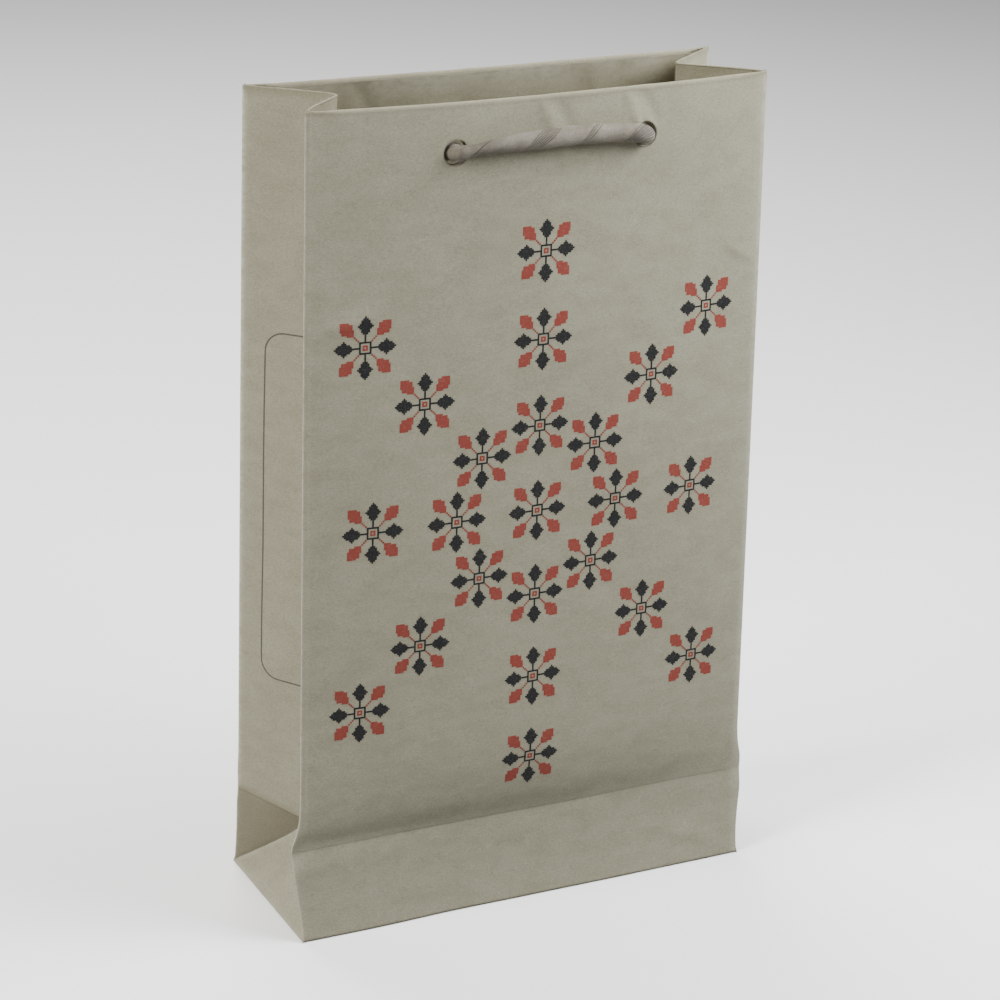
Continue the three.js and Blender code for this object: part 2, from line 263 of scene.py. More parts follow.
# ---- Front and back walls ------------------------------------------------------------------------
# Each wall is the blank's large panel: punched twice for the cord, turned round at its side folds, and
# rolled over at the rim, where it covers the stiffening card and goes on inside as the hem.
strip_low, strip_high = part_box("front_base_strip")
panel_low, panel_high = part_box("front_panel")
leg_low, leg_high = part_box("front_cord_leg_right")
cad_sheet = 0.4 * mm
paper = 0.3 * mm
half_width = panel_high.x
half_depth = -strip_low.y
knee_z = panel_low.z
knee_reach = -panel_low.y
rim_z = panel_high.z
half_mouth = cad_sheet - panel_high.y
hole_x = (leg_low.x + leg_high.x) / 2
hole_z = rim_z - 10.5 * mm
hole_radius = 2.8 * mm
hem_height = rim_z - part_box("front_hem")[0].z
front_bulge, front_rim_bulge = 3.0 * mm, 2.1 * mm
back_bulge, back_rim_hollow = 2.6 * mm, 4.2 * mm
apex_x = half_width - 9.7 * mm
apex_z = 18.6 * mm
fold_radius = 0.35 * mm


def smooth(t):
    t = np.clip(t, 0, 1)
    return t * t * (3 - 2 * t)


def ridge(x, z, start, end, width, height):
    """A straight soft ridge (or valley, below zero) between two points on a wall, fading at its ends."""
    sx, sz, ex, ez = start[0] * mm, start[1] * mm, end[0] * mm, end[1] * mm
    length = math.hypot(ex - sx, ez - sz)
    along = ((x - sx) * (ex - sx) + (z - sz) * (ez - sz)) / length
    across = ((x - sx) * (ez - sz) - (z - sz) * (ex - sx)) / length
    fade = smooth(along / (0.35 * length) + 0.5) * smooth((length - along) / (0.35 * length) + 0.5)
    return height * mm * np.exp(-(across / (width * mm)) ** 2) * fade


def unevenness(x, z, start):
    """The slow waves that handled paper keeps."""
    total = 0
    for k, (wave_x, wave_z) in enumerate(((71, 113), (43, -67), (29, 51), (-83, 37))):
        phase = 2 * math.pi * (x / (wave_x * mm) + z / (wave_z * mm)) + 1.7 * k + start
        total = total + np.sin(phase) / (k + 1)
    return total


def wall_reach(face, x, z):
    """How far a wall's outer face stands out from the bag's middle plane."""
    x, z = np.asarray(x, float), np.asarray(z, float)
    side = np.clip(x / half_width, -1, 1)
    rise = np.clip((z - knee_z) / (rim_z - knee_z), 0, 1)
    strip = knee_reach + (half_depth - knee_reach) * (1 - np.clip(z / knee_z, 0, 1)) ** 1.7
    reach = np.where(z < knee_z, strip, knee_reach + (half_mouth - knee_reach) * rise)
    crown = 1 - side ** 2
    swell = 1 - (1 - np.clip((z - knee_z) / (21 * mm), 0, 1)) ** 2.1
    inner = np.clip(crown * 6, 0, 1)
    if face < 0:
        bulge = front_bulge * swell * (1 - 0.40 * rise) + front_rim_bulge * rise ** 1.5
        reach = reach + crown ** 0.7 * bulge
        reach = reach - 0.35 * mm * np.exp(-((z - knee_z - 1.0 * mm) / (3.0 * mm)) ** 2) * (1.3 - side)
        dents = (((-3, 187), (3, 174), 1.1, 0.35), ((1, 187), (6, 177), 1.2, -0.3),
                 ((18, 187), (22, 178), 0.9, 0.4), ((22, 187), (26, 180), 1.3, -0.35),
                 ((46, 150), (54, 146), 1.0, 0.3), ((30, 12), (50, 4), 1.2, 0.25),
                 ((-52, 141), (-40, 143), 1.5, 0.25))
    else:
        reach = reach + crown ** 0.7 * (back_bulge * swell - back_rim_hollow * rise ** 2)
        reach = reach - 0.4 * mm * np.exp(-((z - knee_z - 1.0 * mm) / (3.0 * mm)) ** 2)
        dents = (((-31, 187), (-26, 176), 1.6, 0.55), ((26, 187), (25.5, 166), 1.0, -0.3),
                 ((-40, 60), (-22, 71), 2.0, 0.35), ((12, 92), (36, 84), 2.4, -0.35))
    shape = sum(ridge(x, z, start, end, width, height) for start, end, width, height in dents)
    pull = np.exp(-(((abs(x) - hole_x) / (8 * mm)) ** 2 + ((z - hole_z) / (7 * mm)) ** 2))
    shape = shape + 0.35 * mm * pull + 0.13 * mm * unevenness(x, z, 0.4 + face)
    return reach + shape * inner


def edge_reach(face, z):
    """The same at the side folds. The folds are pinched in at the knee crease."""
    pinch = 1.0 * mm * np.exp(-((z - knee_z + 0.5 * mm) / (3.2 * mm)) ** 2)
    return wall_reach(face, half_width, z) - (pinch if face < 0 else 0.4 * pinch)


def edge_side(face, z):
    """How far the side folds stand out sideways: at the knee crease the corner is squeezed out."""
    above = np.exp(-(np.clip(z - knee_z, 0, None) / (5.5 * mm)) ** 2)
    below = smooth(np.clip(z / knee_z, 0, 1) ** 1.2)
    return half_width + (1.7 * mm if face < 0 else 0.4 * mm) * np.minimum(above, below)


# Each side folds in to its centre crease. The left one is drawn in a little less than the right one.
tip_x = {-1: half_width - 13.6 * mm, 1: half_width - 15.4 * mm}
tip_y = {-1: -1.6 * mm, 1: 0.6 * mm}


def centre_crease(side, z):
    share = np.clip((z - apex_z) / (rim_z - apex_z), 0, 1)
    x = apex_x + (tip_x[side] - apex_x) * share ** 1.3
    return np.stack([side * x, tip_y[side] * share ** 2 + 0 * x, z + 0 * x], -1)


def fold_point(side, face, z):
    return np.stack([side * edge_side(face, z), face * edge_reach(face, z), z + 0 * np.asarray(z, float)], -1)


def side_target(side, face, z):
    """The point at the same height that the folded-in side heads for from its wall fold."""
    z = np.asarray(z, float)
    low = np.clip(z / apex_z, 0, 1)
    near_x = side * (half_width + (apex_x - half_width) * low)
    near_base = np.stack([near_x, face * half_depth * (1 - low), z], -1)
    return np.where((z < apex_z)[..., None], near_base, centre_crease(side, np.maximum(z, apex_z)))


def fold_turn(side, face, z):
    """For the rounded fold at a wall's edge: the way that the side leaves in, and the size of the arc."""
    corner = fold_point(side, face, z)
    way = side_target(side, face, z) - corner
    way[..., 2] = 0
    length = np.linalg.norm(way, axis=-1)
    way = way / np.maximum(length, 1e-7)[..., None]
    turn = np.arccos(np.clip(way[..., 0] * side, -1, 1))
    tangent = np.minimum(fold_radius * np.tan(turn / 2), 0.4 * length)
    return corner, way, turn, tangent


def fold_arc(side, face, z, share):
    """A point on the rounded fold. share runs from 0, on the wall, to 1, on the folded-in side."""
    corner, way, turn, tangent = fold_turn(side, face, z)
    share = np.asarray(share, float)[..., None]
    start = corner - np.array([side, 0, 0]) * tangent[..., None]
    end = corner + way * tangent[..., None]
    return (1 - share) ** 2 * start + 2 * share * (1 - share) * corner + share ** 2 * end


def net_faces(rows, columns):
    return [(r * columns + c, r * columns + c + 1, (r + 1) * columns + c + 1, (r + 1) * columns + c)
            for r in range(rows - 1) for c in range(columns - 1)]


def racked(points):
    """Standing open and empty the bag has racked: its front rim has slid right and its back rim left."""
    height = np.clip(points[:, 2] / rim_z, 0, 1) ** 1.3
    toward_back = np.clip(points[:, 1] / half_mouth, -1.3, 1.3)
    moved = points.copy()
    moved[:, 0] -= 1.0 * mm * toward_back * height
    moved[:, 0] += 0.75 * mm * toward_back * height * points[:, 0] / half_width
    toward_right = smooth(points[:, 0] / (2 * half_width) + 0.5)
    moved[:, 1] += 0.9 * mm * height * np.clip(-toward_back, 0, 1) * toward_right
    moved[:, 1] -= 1.1 * mm * height * np.clip(toward_back, 0, 1)
    return moved


def point_normals(points, faces):
    normals = np.zeros_like(points)
    for face in faces:
        loop = points[list(face)]
        normal = np.cross(loop[1] - loop[0], loop[-1] - loop[0])
        normal = normal + (np.cross(loop[2] - loop[1], loop[0] - loop[1]) if len(face) > 3 else 0)
        normals[list(face)] += normal
    return normals / np.maximum(np.linalg.norm(normals, axis=1), 1e-12)[:, None]


def make_object(name, points, faces, material, marks=None, sharp=38):
    mesh = bpy.data.meshes.new(name)
    mesh.from_pydata([tuple(p) for p in racked(np.asarray(points))], [], faces)
    mesh.shade_smooth()
    mesh.set_sharp_from_angle(angle=math.radians(sharp))
    for label in ("wear_and_painted_light", "crease"):
        values = np.zeros(len(points)) if marks is None or label not in marks else marks[label]
        mesh.attributes.new(label, "FLOAT", "POINT").data.foreach_set("value", np.asarray(values, np.float32))
    mesh.materials.append(material)
    made = bpy.data.objects.new(name, mesh)
    bpy.context.scene.collection.objects.link(made)
    return made


def sheet_solid(name, points, faces, thickness, material, outward, marks=None):
    """A sheet, closed along its cut edges, from a net on its outer face, which looks roughly outward."""
    normals = point_normals(points, faces)
    if (normals @ np.array(outward, float)).sum() < 0:
        faces = [tuple(reversed(f)) for f in faces]
        normals = -normals
    count = len(points)
    both = np.concatenate([points, points - normals * thickness])
    directed = {(f[k], f[(k + 1) % len(f)]) for f in faces for k in range(len(f))}
    walls = [(b, a, a + count, b + count) for a, b in sorted(directed) if (b, a) not in directed]
    inner = [tuple(count + k for k in reversed(f)) for f in faces]
    doubled = {label: np.concatenate([values, values]) for label, values in (marks or {}).items()}
    return make_object(name, both, list(faces) + inner + walls, material, doubled)


def spaced(start, end, step, dense_at=(), dense_step=0.4 * mm, dense_reach=2.5 * mm):
    """Numbers from start to end, a step apart, closer together near the given places."""
    values, here = [start], start
    while here < end - 0.3 * dense_step:
        near = any(abs(here - place) < dense_reach for place in dense_at)
        here = min(here + (dense_step if near else step), end)
        values.append(here)
    return np.array(values)


rim_fold = {"middle": 0.80 * mm, "ends": 0.28 * mm}
hem_side_margin = 6 * mm


def rim_fold_radius(x):
    share = smooth((half_width - hem_side_margin + 3 * mm - abs(np.asarray(x, float))) / (5 * mm))
    return rim_fold["ends"] + (rim_fold["middle"] - rim_fold["ends"]) * share


def wall_point(face, u, v):
    """u runs across the wall and into its rounded side folds; v runs up it and over the rim."""
    u, v = np.broadcast_arrays(np.asarray(u, float), np.asarray(v, float))
    radius = rim_fold_radius(u)
    over = np.clip((v - (rim_z - radius)) / (math.pi * radius), 0, 1)
    z = np.where(v > rim_z - radius, rim_z - radius, v)
    flat_end = half_width - 2 * mm
    result = np.empty(u.shape + (3,))
    for side in (-1, 1):
        corner, way, turn, tangent = fold_turn(side, face, z)
        start_x = np.abs(corner[..., 0]) - tangent
        share = np.clip((np.abs(u) - flat_end) / (half_width - flat_end), 0, 1)
        near_fold = flat_end + (start_x - flat_end) * np.clip(share * 2, 0, 1)
        x = np.where(np.abs(u) > flat_end, near_fold, np.abs(u))
        on_flat = np.stack([side * x, face * wall_reach(face, side * x, z), z], -1)
        edge_match = smooth((x - flat_end) / np.maximum(start_x - flat_end, 1e-6))[..., None]
        edge_y = face * edge_reach(face, z)
        on_flat[..., 1] = on_flat[..., 1] * (1 - edge_match[..., 0]) + edge_y * edge_match[..., 0]
        on_flat[..., 0] = np.where(np.abs(u) > flat_end, on_flat[..., 0], side * np.abs(u))
        turned = fold_arc(side, face, z, np.clip(share * 2 - 1, 0, 1))
        chosen = np.where((share > 0.5)[..., None], turned, on_flat)
        mine = (u >= 0) if side > 0 else (u < 0)
        result[mine] = chosen[mine]
    inward = np.zeros(u.shape + (3,))
    inward[..., 1] = -face
    for side in (-1, 1):
        _, way, _, _ = fold_turn(side, face, z)
        share = np.clip((side * u - (half_width - 1 * mm)) / (1 * mm), 0, 1)[..., None]
        across = np.stack([way[..., 1] * side, -way[..., 0] * side, 0 * z], -1)
        across = across * np.sign((across * np.array([-side, 0, 0])).sum(-1))[..., None]
        mine = (side * u > half_width - 1 * mm)[..., None]
        inward = np.where(mine, (1 - share) * inward + share * across, inward)
    inward = inward / np.linalg.norm(inward, axis=-1)[..., None]
    angle = over * math.pi
    result = result + inward * (radius * (1 - np.cos(angle)))[..., None]
    result[..., 2] += radius * np.sin(angle)
    return result


def punched_net(us, vs, holes, radius):
    """A triangle net over us by vs with round holes, each ringed by closer and closer points."""
    rings = (1.0, 1.12, 1.3, 1.55, 1.9)
    points = [(u / mm, v / mm) for v in vs for u in us
              if all(math.hypot(u - hu, v - hv) > radius * (rings[-1] + 0.12) for hu, hv in holes)]
    edges = []
    for hu, hv in holes:
        for k, ring in enumerate(rings):
            first, count = len(points), 56 if k < 3 else 40
            for step in range(count):
                angle = 2 * math.pi * step / count
                across, up = radius * ring * math.cos(angle), radius * ring * math.sin(angle)
                points.append(((hu + across) / mm, (hv + up) / mm))
                if k == 0:
                    edges.append((first + step, first + (step + 1) % count))
    made = geometry.delaunay_2d_cdt([Vector(p) for p in points], edges, [], 0, 1e-6)
    flat = np.array([tuple(p) for p in made[0]]) * mm
    keep = []
    for face in made[2]:
        middle = flat[list(face)].mean(0)
        if all(math.hypot(middle[0] - hu, middle[1] - hv) > radius * 0.995 for hu, hv in holes):
            keep.append(tuple(face))
    return flat, keep


def hole_distance(points, holes):
    return np.min([np.hypot(points[:, 0] - hu, points[:, 1] - hv) for hu, hv in holes], axis=0)


holes = [(-hole_x, hole_z), (hole_x, hole_z)]
columns = spaced(-half_width, half_width, 1.4 * mm, (-half_width, half_width), 0.16 * mm, 2.0 * mm)
rim_top = rim_z - rim_fold["middle"] + math.pi * rim_fold["middle"]

for face, label in ((-1, "front"), (1, "back")):
    body = f"{label}_wall"
    rows = np.concatenate([
        spaced(knee_z, rim_z - 2 * mm, 1.4 * mm, (knee_z,), 0.45 * mm, 7 * mm),
        np.linspace(rim_z - 2 * mm, rim_top, 16)[1:],
    ])
    net, faces = punched_net(columns, rows, holes, hole_radius)
    points = wall_point(face, net[:, 0], net[:, 1])
    at_fold = np.exp(-((half_width - abs(net[:, 0])) / (0.75 * mm)) ** 2)
    # Painted shade: the rolled rim is darkened and kept from paling, and a thin dark line runs along the knee
    # crease. Each hole is ringed darker.
    rim_painted_shade = 0.42 * smooth((net[:, 1] - rim_z + 1.6 * mm) / (1.2 * mm))
    at_hole = np.exp(-((hole_distance(net, holes) - hole_radius) / (0.16 * mm)) ** 2)
    at_knee = np.exp(-((net[:, 1] - knee_z) / (0.5 * mm)) ** 2) * 0.15
    marks = {"wear_and_painted_light": np.clip(0.95 * at_fold, 0, 1) * (1 - rim_painted_shade),
             "crease": np.clip(0.8 * at_hole + at_knee + rim_painted_shade, 0, 1)}
    wall = sheet_solid(f"{label}_panel_sheet", points, faces, paper, kraft_outside, (0, face, 0), marks)
    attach(wall, body)
    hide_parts(f"{label}_panel")


# ---- Base strips ---------------------------------------------------------------------------------
# Below the knee crease the same sheet runs down to the ground and turns under the bag. It is lighter
# than the wall above, because it leans back where the wall overhangs.
strip_columns = spaced(-half_width, half_width, 1.4 * mm, (-half_width, half_width), 0.16 * mm, 2.0 * mm)
ground_radius = 0.5 * mm
crease_gap = 0.06 * mm

for face, label in ((-1, "front"), (1, "back")):
    rows = spaced(0, knee_z - crease_gap, 1.3 * mm, (knee_z, 0), 0.25 * mm, 1.6 * mm)
    grid_u, grid_v = np.meshgrid(strip_columns, rows)
    points = wall_point(face, grid_u, np.maximum(grid_v, ground_radius * 0.5)).reshape(-1, 3)
    tuck = np.clip(1 - grid_v.ravel() / ground_radius, 0, 1)
    points[:, 1] -= face * ground_radius * 0.6 * tuck ** 2
    points[:, 2] = np.where(grid_v.ravel() < ground_radius * 0.5, grid_v.ravel(), points[:, 2])
    at_fold = np.exp(-((half_width - abs(grid_u.ravel())) / (0.75 * mm)) ** 2)
    at_ground = np.exp(-(grid_v.ravel() / (0.5 * mm)) ** 2)
    at_knee = np.exp(-((grid_v.ravel() - knee_z) / (0.5 * mm)) ** 2)
    # Painted shade: a dark line along the ground edge and a thin one at the knee crease.
    marks = {"wear_and_painted_light": 0.7 * at_fold, "crease": np.clip(0.45 * at_ground + 0.15 * at_knee, 0, 1)}
    strip = sheet_solid(f"{label}_base_strip_sheet", points, net_faces(len(rows), len(strip_columns)), paper,
                        kraft_outside, (0, face, 0), marks)
    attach(strip, "base")
    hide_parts(f"{label}_base_strip")


# ---- Folded-in sides -----------------------------------------------------------------------------
# A side is five regions of the blank. Its foot is the triangle that rises from the ground to a point,
# with a small triangle on each side of it. Above them two halves fold in to the centre crease.
def triangle_net(count):
    places, index = [], {}
    for i in range(count + 1):
        for j in range(count + 1 - i):
            index[i, j] = len(places)
            places.append(((count - i - j) / count, i / count, j / count))
    faces = []
    for i in range(count):
        for j in range(count - i):
            faces.append((index[i, j], index[i + 1, j], index[i, j + 1]))
            if i + j < count - 1:
                faces.append((index[i + 1, j], index[i + 1, j + 1], index[i, j + 1]))
    return np.array(places), faces


def half_side_net(side, face, drop, low_share=0.0, inward=0.0, wall_margin=0.0,
                  rows=90, columns=34, over=True):
    """Points of a folded-in half, from its wall fold to the centre crease, rolled over at the rim."""
    t = np.linspace(low_share, 1, rows)
    across = 1 - (1 - np.linspace(wall_margin, 1, columns)) ** 1.35
    wall_z = knee_z + (rim_z - drop - knee_z) * t
    centre_z = apex_z + (rim_z - drop - apex_z) * t
    start = fold_arc(side, face, wall_z, np.ones_like(wall_z))
    end = centre_crease(side, centre_z)
    along = end - start
    nose = np.array([0, face, 0]) * (1.3 * mm * t ** 0.7)[:, None]
    bow = np.stack([-side * 0.77 + 0 * t, face * 0.64 + 0 * t, 0 * t], -1)
    rim_belly = 1.3 * mm if face < 0 else 0.3 * mm
    belly = 0.9 * mm * np.sin(math.pi * np.clip(t, 0, 1) ** 0.7) + rim_belly * t ** 3
    first = start + along / 3 - bow * (belly * 0.8)[:, None]
    second = end + nose - along * 0.05 - bow * (belly * 0.15)[:, None]
    s = across[None, :, None]
    net = ((1 - s) ** 3 * start[:, None] + 3 * (1 - s) ** 2 * s * first[:, None]
           + 3 * (1 - s) * s ** 2 * second[:, None] + s ** 3 * end[:, None])
    grow = np.sin(math.pi * across)[None, :] * 0.15 * mm
    wave = grow * unevenness(across[None, :] * 21 * mm + side * 30 * mm, wall_z[:, None], 2.0 * side + face)
    net = net + bow[:, None, :] * wave[..., None]
    into = np.stack([-side * 0.69 + 0 * t, face * 0.72 + 0 * t, 0 * t], -1)
    net = net + into[:, None, :] * inward
    if over:
        turns = np.linspace(0, math.pi, 9)[1:]
        top = net[-1]
        radius = rim_fold["ends"]
        extra = []
        for angle in turns:
            row = top.copy()
            row[:, :2] += into[-1, :2] * radius * (1 - math.cos(angle))
            row[:, 2] += radius * math.sin(angle)
            extra.append(row)
        net = np.concatenate([net, np.array(extra)])
    return net, across, t


for side, side_label in ((-1, "left"), (1, "right")):
    apex = centre_crease(side, np.array([apex_z]))[0]
    places, faces = triangle_net(22)
    ground = {face: np.array([side * half_width, face * half_depth, 0.15 * mm]) for face in (-1, 1)}
    weights = places[:, :, None]
    foot = (weights * np.array([ground[-1], ground[1], apex])).sum(1)
    hollow = 2.6 * mm * np.sin(math.pi * places[:, 2] ** 1.3)
    foot[:, 0] -= side * hollow
    edge = places.min(1)
    # Paler along the foot's folds from wear, with a painted shade line along them.
    marks = {"wear_and_painted_light": 0.45 * np.exp(-(edge / 0.02) ** 2), "crease": 0.25 * np.exp(-(edge / 0.012) ** 2)}
    sheet = sheet_solid(f"{side_label}_gusset_foot_sheet", foot, faces, paper, kraft_outside,
                        (side, 0, 0.3), marks)
    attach(sheet, "base")
    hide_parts(f"{side_label}_gusset_foot")
    for face, face_label in ((-1, "front"), (1, "back")):
        total = np.maximum(places[:, 0] + places[:, 1], 1e-9)
        edge_z = knee_z * places[:, 1] / total
        on_edge = fold_arc(side, face, np.maximum(edge_z, 0.15 * mm), np.ones_like(edge_z))
        share = places[:, 2][:, None]
        triangle = on_edge * (1 - share) + apex * share
        triangle[:, 0] -= side * hollow * places[:, 0] / total
        # Painted shade: the whole corner triangle is darkened, most along its edge from the knee crease up to
        # the apex.
        marks = {"wear_and_painted_light": 0.35 * np.exp(-(places.min(1) / 0.03) ** 2),
                 "crease": np.maximum(0.9 * np.exp(-(places[:, 0] / 0.03) ** 2), 0.50)}
        sheet = sheet_solid(f"{side_label}_gusset_corner_{face_label}_sheet", triangle, faces, paper,
                            kraft_outside, (side, 0.2 * face, -0.3), marks)
        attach(sheet, "base")
        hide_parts(f"{side_label}_gusset_corner_{face_label}")

        net, across, t = half_side_net(side, face, drop=rim_fold["ends"])
        rows, columns_here = net.shape[:2]
        row_share = np.concatenate([t, np.ones(rows - len(t))])
        at_centre = np.exp(-((1 - across) / 0.03) ** 2)[None, :] + 0 * row_share[:, None]
        at_wall = np.exp(-(across / 0.03) ** 2)[None, :] + 0 * row_share[:, None]
        at_foot = np.exp(-(row_share / 0.004) ** 2)[:, None] + 0 * across[None, :]
        rolled = (np.arange(rows) >= len(t) - 1)[:, None] + 0 * across[None, :]
        # Painted shade: a dark line along the half's foot and over its rolled rim, which is also kept from
        # paling.
        marks = {"wear_and_painted_light": (np.clip(0.6 * at_wall + 0.4 * at_centre, 0, 1) * (1 - rolled)).ravel(),
                 "crease": np.maximum(0.5 * at_foot, 0.45 * rolled).ravel()}
        half = sheet_solid(f"{side_label}_gusset_{face_label}_sheet", net.reshape(-1, 3),
                           net_faces(rows, columns_here), paper, kraft_outside, (side, -0.3 * face, 0), marks)
        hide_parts(f"{side_label}_gusset_{face_label}")
        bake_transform(half)

        net, across, t = half_side_net(side, face, low_share=1 - hem_height / (rim_z - knee_z), drop=0.4 * mm,
                                       inward=0.55 * mm, wall_margin=0.10, rows=24, columns=28, over=False)
        hem = sheet_solid(f"{side_label}_gusset_hem_{face_label}_sheet", net.reshape(-1, 3),
                          net_faces(*net.shape[:2]), paper, kraft_inside, (-side, -0.3 * face, 0))
        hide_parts(f"{side_label}_gusset_hem_{face_label}")
        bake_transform(hem)


# ---- Rim card, hem and side seam -----------------------------------------------------------------
# The rim is stiffened by a strip of 1 mm grey card between the wall and its turned-in hem. Both are
# punched with the wall. The seam lap is where the ends of the blank are glued, inside the back wall.
grey_board = paper_material(
    "grey_board", (0.235, 0.222, 0.190), (0.200, 0.188, 0.155), (0.090, 0.080, 0.062), (0.40, 0.39, 0.35),
    tooth_depth=0.08)


def lining_point(face, u, v, depth):
    """A layer behind the wall's outer face, by its depth."""
    return np.stack([u, face * (wall_reach(face, u, v) - depth), v], -1)


card = 1.0 * mm
for face, label in ((-1, "front"), (1, "back")):
    layers = (
        ("rim_card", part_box(f"{label}_rim_card"), paper + 0.05 * mm, card, grey_board, "grey_card"),
        ("hem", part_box(f"{label}_hem"), paper + card + 0.1 * mm, paper, kraft_inside, "kraft_inside"),
    )
    for part, (low, high), depth, thickness, finish, slot_name in layers:
        top = rim_z - (1.7 * mm if part == "rim_card" else rim_fold["middle"])
        us = spaced(low.x, high.x, 1.8 * mm)
        vs = spaced(low.z, top, 1.8 * mm)
        net, faces = punched_net(us, vs, holes, hole_radius)
        points = lining_point(face, net[:, 0], net[:, 1], depth)
        at_hole = np.exp(-((hole_distance(net, holes) - hole_radius) / (0.3 * mm)) ** 2)
        below_rim = (rim_z - net[:, 1]) / mm
        # Painted light: paler at the top, fading over a few millimetres below the rim.
        rubbed_and_painted_light = 0.40 * np.exp(-(below_rim / 4.5) ** 2)
        # Painted shade: darker further below the rim and towards the sides, in slow waves.
        lining_painted_shade = 0.24 * smooth((below_rim - 2) / 8) + 0.12 * unevenness(net[:, 0] * 2.6, net[:, 1] * 2.6, 1.0)
        lining_painted_shade = np.clip(lining_painted_shade + 0.32 * smooth(abs(net[:, 0]) / half_width), 0, 1)
        piece = sheet_solid(f"{label}_{part}_sheet", points, faces, thickness, finish, (0, face, 0),
                            {"wear_and_painted_light": np.maximum(0.8 * at_hole, rubbed_and_painted_light), "crease": lining_painted_shade})
        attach(piece, f"{label}_wall")
        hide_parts(f"{label}_{part}")

lap_low, lap_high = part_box("side_seam_lap")
us, vs = spaced(lap_low.x, lap_high.x, 1.0 * mm), spaced(lap_low.z, lap_high.z, 2.0 * mm)
grid_u, grid_v = np.meshgrid(us, vs)
lap = sheet_solid("side_seam_lap_sheet", lining_point(1, grid_u.ravel(), grid_v.ravel(), paper + 0.05 * mm),
                  net_faces(len(vs), len(us)), paper, kraft_inside, (0, 1, 0))
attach(lap, "back_wall")
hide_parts("side_seam_lap")


# ---- Bottom flaps and base card ------------------------------------------------------------------
# The bottom is closed by the four flaps of the blank, the long ones glued outside the short ones. A
# loose grey card lies on them and keeps the base flat. All five are flat boards with cut edges.
bottom_finishes = (
    ("bottom_flap_back", kraft_outside),
    ("bottom_flap_front", kraft_outside),
    ("bottom_flap_left", kraft_inside),
    ("bottom_flap_right", kraft_inside),
    ("base_card", grey_board),
)
for name, finish in bottom_finishes:
    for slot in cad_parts[name].material_slots:
        slot.material = finish


# ---- Cord handles --------------------------------------------------------------------------------
# A strip of creased kraft tissue, twisted into a soft cord about 4 mm thick. It comes out of one
# hole, lies against the wall and goes in at the other, and hangs inside to a knot at each end.
cord_radius = (leg_high.x - leg_low.x) / 2
leg_reach = abs(leg_low.y + leg_high.y) / 2
cord_twist = 2 * math.pi / (12.5 * mm)

cord_paper = paper_material(
    "cord_paper", (0.225, 0.205, 0.170), (0.135, 0.115, 0.086), (0.012, 0.008, 0.006), (0.44, 0.42, 0.38),
    tooth_depth=0.14)

# The strip's edge winds round the cord once in each turn, and pleats gather beside it. Each has its angle
# round the cord, its depth as a share of the radius, and the length where it is deepest, with its reach.
edge_pleats = ((0.0, 0.10, 20, 400), (2.6, 0.045, -30, 45), (4.1, 0.045, 80, 40), (1.3, 0.04, -20, 30))
middle_pleats = tuple((angle, 0.06, 22 + 2 * angle, 8) for angle in (-0.30, 0.26, 0.50, 0.80, 1.08, 1.40))
far_pleats = tuple((angle, 0.055, 33 + angle, 5) for angle in (0.30, 0.72))
end_angles = (-0.3, 0.22, 0.48, 0.76, 1.02, 1.34, 1.62, 1.98, 2.4)
end_pleats = tuple((angle, 0.06, 43.5 + 1.2 * angle, 6.5) for angle in end_angles)
cord_pleats = edge_pleats + middle_pleats + far_pleats + end_pleats


def smooth_route(points, step):
    """A centripetal curve through the points, as places a step apart."""
    points = np.array(points, float)
    padded = np.concatenate([[2 * points[0] - points[1]], points, [2 * points[-1] - points[-2]]])
    fine = []

    def part_way(t, low, high, first, second):
        return ((high - t) * first + (t - low) * second) / (high - low)

    for k in range(len(points) - 1):
        p = padded[k:k + 4]
        at = np.concatenate([[0], np.cumsum(np.sqrt(np.linalg.norm(np.diff(p, axis=0), axis=1)))])
        for t in np.linspace(at[1], at[2], 40, endpoint=False):
            a = [part_way(t, at[i], at[i + 1], p[i], p[i + 1]) for i in range(3)]
            b = [part_way(t, at[i], at[i + 2], a[i], a[i + 1]) for i in range(2)]
            fine.append(part_way(t, at[1], at[2], b[0], b[1]))
    fine = np.array(fine + [points[-1]])
    length = np.concatenate([[0], np.cumsum(np.linalg.norm(np.diff(fine, axis=0), axis=1))])
    even = np.linspace(0, length[-1], int(length[-1] / step) + 1)
    return np.stack([np.interp(even, length, fine[:, k]) for k in range(3)], -1), even


def carried_frames(route):
    """Two directions across the route at each place, carried along without twisting."""
    ways = np.gradient(route, axis=0)
    ways /= np.linalg.norm(ways, axis=1)[:, None]
    across = np.cross(ways[0], [0.3, 0.9, 0.1])
    across /= np.linalg.norm(across)
    first = [across]
    for way in ways[1:]:
        across = first[-1] - way * (first[-1] @ way)
        first.append(across / np.linalg.norm(across))
    first = np.array(first)
    return first, np.cross(ways, first)


